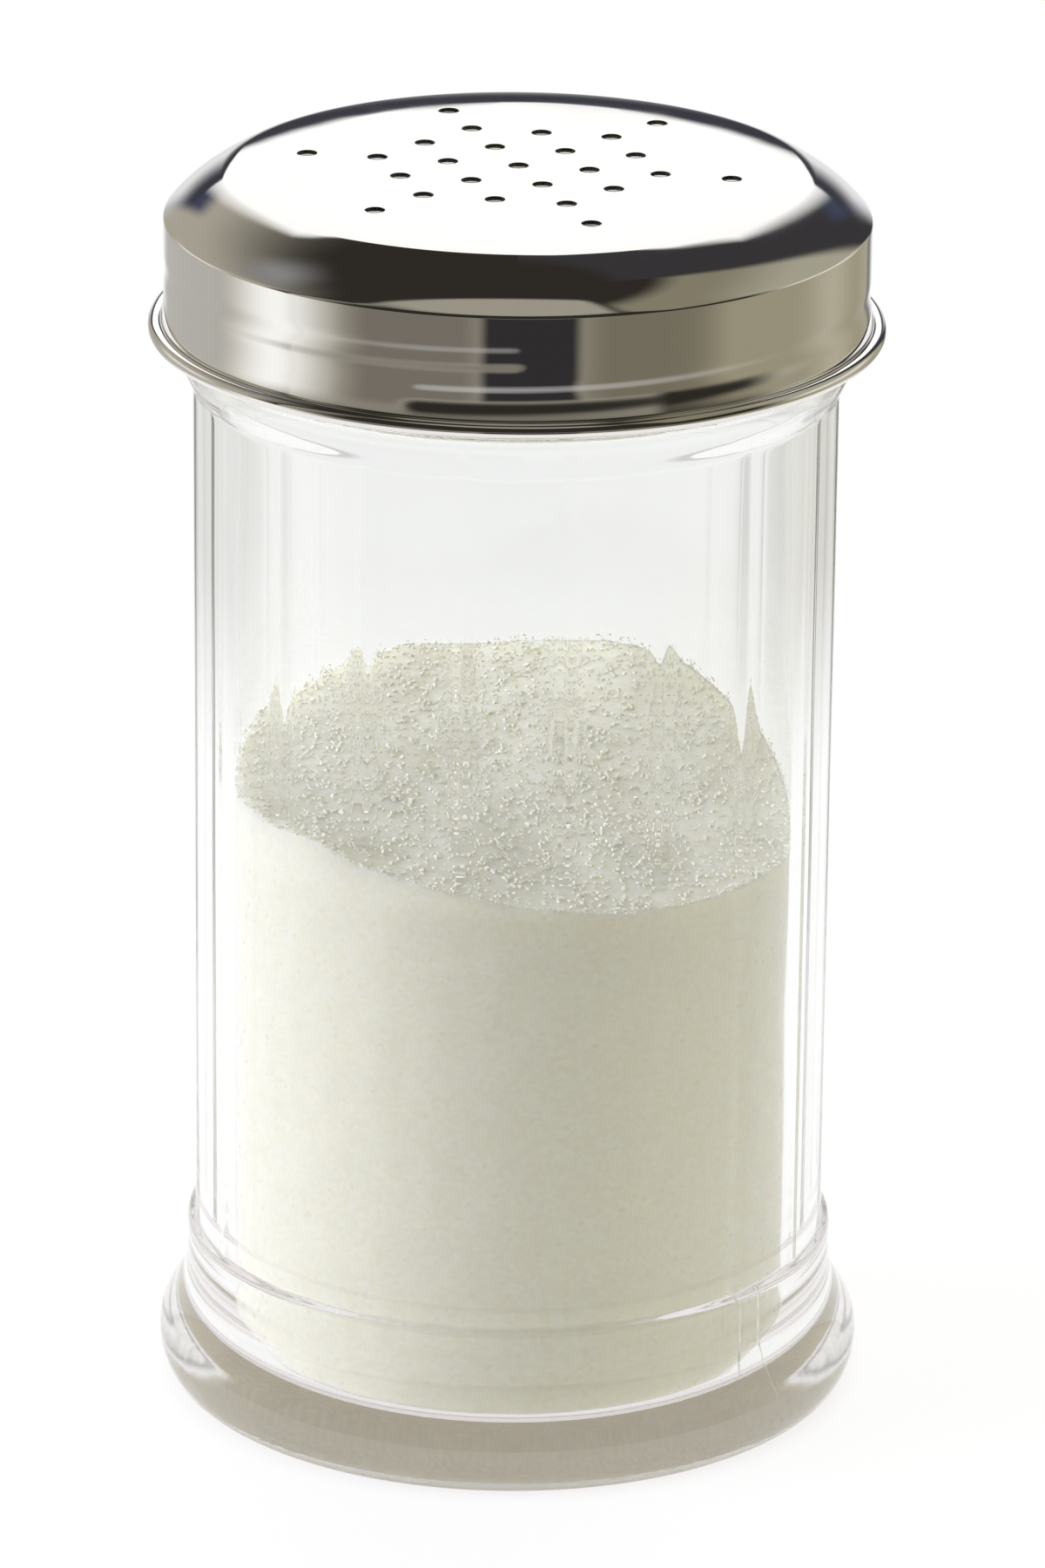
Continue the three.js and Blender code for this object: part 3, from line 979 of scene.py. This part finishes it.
def torn_shaded_walls(tree):
    """1 on the walls of the punched holes, between the crown's top and its underside, which are rough
    and painted dark as shade.
    """
    parts = object_parts(tree)
    share = calculate(tree, "DIVIDE", axis_distance(tree, parts), crown_radius)
    sag = calculate(tree, "MULTIPLY", calculate(tree, "POWER", share, sag_power), crown_sag)
    depth = calculate(tree, "SUBTRACT", calculate(tree, "SUBTRACT", crown_level, parts["Z"]), sag)
    between = band(tree, depth, hole_top, hole_foot, hole_fade)
    flat = ramp(tree, share, flat_share, falling_share, 1.0, 0.0)
    return calculate(tree, "MULTIPLY", between, flat)


def valley_shade(tree):
    """1 in the narrow valley between the skirt and the bead, which is painted dark as shade."""
    parts = object_parts(tree)
    near = ramp(tree, axis_distance(tree, parts), valley_inner, valley_outer, 1.0, 0.0)
    low = band(tree, parts["Z"], bead_level, bead_level + valley_top, valley_fade)
    return calculate(tree, "MULTIPLY", near, low)


polished_steel, tree, output = new_material("polished_steel")
steel = add_node(tree, "ShaderNodeBsdfPrincipled", Metallic=1)
# The holes' walls are painted near black as shade, and made rough.
torn_shaded = torn_shaded_walls(tree)
steel_with_hole_shade = mix_colour(tree, torn_shaded, steel_colour, hole_wall_shade_colour)
# The valley above the bead is painted dark as shade.
put(tree, mix_colour(tree, valley_shade(tree), steel_with_hole_shade, valley_shade_colour), steel.inputs["Base Color"])
touch = use_group(tree, smudges, Scale=45, Clean=0.03, Smudged=0.09)
rough = calculate(tree, "MULTIPLY_ADD", torn_shaded, torn_roughness, touch.outputs["Roughness"])
put(tree, rough, steel.inputs["Roughness"])
waves = use_group(tree, soft_waves, Scale=90, Amount=1)
add_relief(tree, steel, waves.outputs["Height"], steel_relief)
put(tree, steel.outputs[0], output.inputs["Surface"])

lid_steel = finish_piece("lid_steel", lid_shape, "lid", polished_steel)
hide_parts("screw_lid")

# %% [markdown]
# The sugar is a heap of crystals about half a millimetre across, far too many to model. It is made
# in two layers: a solid body with a grainy surface, and loose crystals on its top and along its
# edge, where single ones can be seen. The body is spun like the jar, and its top is then lifted into
# the uneven slope that shaking left. Its underside touches the glass floor, so that the foot shows
# the sugar's colour.

# %% Packed sugar
side_gap = 0.25 * mm
floor_contact = 0.03 * mm
corner_gap = 0.3 * mm
sugar_depth = 62.1 * mm
sugar_radius = inner_radius - side_gap
sugar_base = base_thickness - floor_contact
sugar_corner = floor_corner - corner_gap
sugar_level = base_thickness + sugar_depth
sugar_rise = 4.1 * mm
sugar_lean = 2 * mm
sugar_twist = 2.9 * mm
sugar_bank = 1.1 * mm
bank_start = 0.15
bank_width = 0.3
hill_size = 0.5 * mm
hill_length = 9 * mm
ripple_size = 0.12 * mm
ripple_length = 2.2 * mm
side_top = sugar_level - 6 * mm
side_share = 0.9
side_dent = 0.1 * mm
dent_length = 3 * mm
grain_relief = 0.03 * mm
sugar_segments = 300
grain = 0.55 * mm


def sugar_height(x, y):
    """The height of the sugar's top over a place, without its single grains."""
    across = x / sugar_radius
    back = y / sugar_radius
    hill = hill_size * noise.noise(Vector((x, y, 0)) / hill_length)
    ripple = ripple_size * noise.noise(Vector((x, y, 5)) / ripple_length)
    aside = min(max((abs(across) - bank_start) / bank_width, 0), 1)
    bank = sugar_bank * aside ** 2 * (3 - 2 * aside) * max(back, 0)
    return (sugar_level + sugar_rise * back - sugar_lean * across
            + sugar_twist * across * back + bank + hill + ripple)


def sugar_outline():
    corner = (sugar_radius - sugar_corner, sugar_base + sugar_corner)
    bottom = arc(corner, sugar_corner, sugar_corner, -quarter_turn, 0, steps=7)
    side = stretch((sugar_radius, corner[1]), (sugar_radius, side_top), steps=34)
    top = stretch((sugar_radius, sugar_level), (0, sugar_level), steps=56)
    return [(0, sugar_base)] + bottom + side + [(sugar_radius, sugar_level)] + top


def shape_sugar(shape):
    for vert in shape.verts:
        radius = math.hypot(vert.co.x, vert.co.y)
        if abs(vert.co.z - sugar_level) < same_place:
            level = sugar_height(vert.co.x, vert.co.y)
            level += grain_relief * noise.noise(vert.co / grain)
            vert.co.z = level
        elif radius > side_share * sugar_radius:
            dent = side_dent * (noise.noise(vert.co / dent_length) - 1)
            vert.co.x *= (radius + dent) / radius
            vert.co.y *= (radius + dent) / radius


sugar_shape = spin_outline(sugar_outline(), sugar_segments)
shape_sugar(sugar_shape)

# %% [markdown]
# Both sugars share one look: tiny cells with a little variation from cell to cell, warm white, and
# bright small faces. The cells are a shader group that gives a shade, a height and a roughness.
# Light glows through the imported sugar, and not through the loose crystals.

# %% Sugar finish
cell_tilt = 0.6
glint_share = 0.12
glint_roughness = 0.15
dull_roughness = 0.75
sugar_glow = (1.0, 0.95, 0.8)
glow_reach = 2 * mm
crystal_edges = 0.8

crystal_grain, source, sink = new_group("crystal_grain", [("Scale", 1800)],
                                        ["Shade", "Height", "Roughness"])
place = add_node(crystal_grain, "ShaderNodeTexCoord")
cells = add_node(crystal_grain, "ShaderNodeTexVoronoi", feature="F1",
                 Vector=place.outputs["Object"], Scale=source.outputs["Scale"])
cell_colour = add_node(crystal_grain, "ShaderNodeSeparateColor", Color=cells.outputs["Color"])
put(crystal_grain, cell_colour.outputs[0], sink.inputs["Shade"])
mound = calculate(crystal_grain, "SUBTRACT", 1.0, cells.outputs["Distance"])
put(crystal_grain, calculate(crystal_grain, "MULTIPLY_ADD", cell_colour.outputs[1], cell_tilt, mound),
    sink.inputs["Height"])
dullness = ramp(crystal_grain, cell_colour.outputs[2], 0.0, glint_share, glint_roughness, dull_roughness)
put(crystal_grain, dullness, sink.inputs["Roughness"])


def sugar_material(name, dark, light, relief, scale, glow_through):
    material, tree, output = new_material(name)
    shader = add_node(tree, "ShaderNodeBsdfPrincipled", Subsurface_Weight=glow_through,
                      Subsurface_Radius=sugar_glow, Subsurface_Scale=glow_reach)
    cells = use_group(tree, crystal_grain, Scale=scale)
    put(tree, mix_colour(tree, cells.outputs["Shade"], dark, light), shader.inputs["Base Color"])
    put(tree, cells.outputs["Roughness"], shader.inputs["Roughness"])
    add_relief(tree, shader, cells.outputs["Height"], relief, crystal_edges)
    put(tree, shader.outputs[0], output.inputs["Surface"])
    return material


packed_white = sugar_material("packed_sugar", dark=(0.90, 0.864, 0.71, 1),
                              light=(0.95, 0.918, 0.79, 1), relief=0.007 * mm,
                              scale=2200, glow_through=1.0)
packed_sugar = finish_piece("packed_sugar", sugar_shape, "jar", packed_white)
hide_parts("sugar_fill")

# %% [markdown]
# A sugar crystal is a small block with sharp edges. Thousands are scattered, so each is a plain
# cube, stretched and turned at random, half sunk in the heap. They are made in small batches,
# because every bmesh operation looks at the whole mesh it works on.

# %% Loose crystals
top_crystals = 4500
edge_crystals = 700
edge_climb = 0.8 * mm
crystal_rise = 0.06 * mm
top_inset = 0.5 * mm
edge_inset = 0.3 * mm
small_inset = 0.6 * mm
small_share = 0.6
least_size = 0.3
most_size = 0.75
most_tip = 0.9
batch_size = 100
chance = random.Random(4)


def crystal_places():
    """Where the loose crystals lie: all over the top, and clinging to the glass along its edge."""
    places = []
    for _ in range(top_crystals):
        radius = (inner_radius - top_inset) * math.sqrt(chance.random())
        angle = full_turn * chance.random()
        x, y = radius * math.cos(angle), radius * math.sin(angle)
        places.append(Vector((x, y, sugar_height(x, y) + crystal_rise * chance.uniform(-1, 1))))
    for _ in range(edge_crystals):
        angle = full_turn * chance.random()
        radius = inner_radius - edge_inset
        x, y = radius * math.cos(angle), radius * math.sin(angle)
        places.append(Vector((x, y, sugar_height(x, y) + edge_climb * chance.random() ** 3)))
    return places


def crystal_batch(places):
    shape = bmesh.new()
    for place in places:
        size = Vector([grain * chance.uniform(least_size, most_size) for _ in range(3)])
        if math.hypot(place.x, place.y) > inner_radius - small_inset:
            size *= small_share
        turn = Matrix.Rotation(chance.uniform(0, full_turn), 4, "Z")
        tip = Matrix.Rotation(chance.uniform(-most_tip, most_tip), 4, "X")
        stretched = Matrix.Diagonal((*size, 1))
        bmesh.ops.create_cube(shape, size=1, matrix=Matrix.Translation(place) @ turn @ tip @ stretched)
    return shape


crystal_shape = bmesh.new()
all_places = crystal_places()
for first in range(0, len(all_places), batch_size):
    add_shape(crystal_shape, crystal_batch(all_places[first:first + batch_size]))
bmesh.ops.recalc_face_normals(crystal_shape, faces=crystal_shape.faces)

loose_white = sugar_material("loose_sugar", dark=(0.95, 0.93, 0.81, 1),
                             light=(0.98, 0.965, 0.88, 1), relief=0.004 * mm,
                             scale=1200, glow_through=0.0)
finish_piece("loose_crystals", crystal_shape, "jar", loose_white, smooth=False)

# %% [markdown]
# Last, the finished model is measured again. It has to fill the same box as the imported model, so
# both boxes are written side by side.

# %% Compare the boxes
visual_box = [list(corner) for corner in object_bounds()]
for name, box in (("CAD", cad_box), ("visual", visual_box)):
    print(name, "box in mm:", [[round(part / mm, 2) for part in corner] for corner in box])
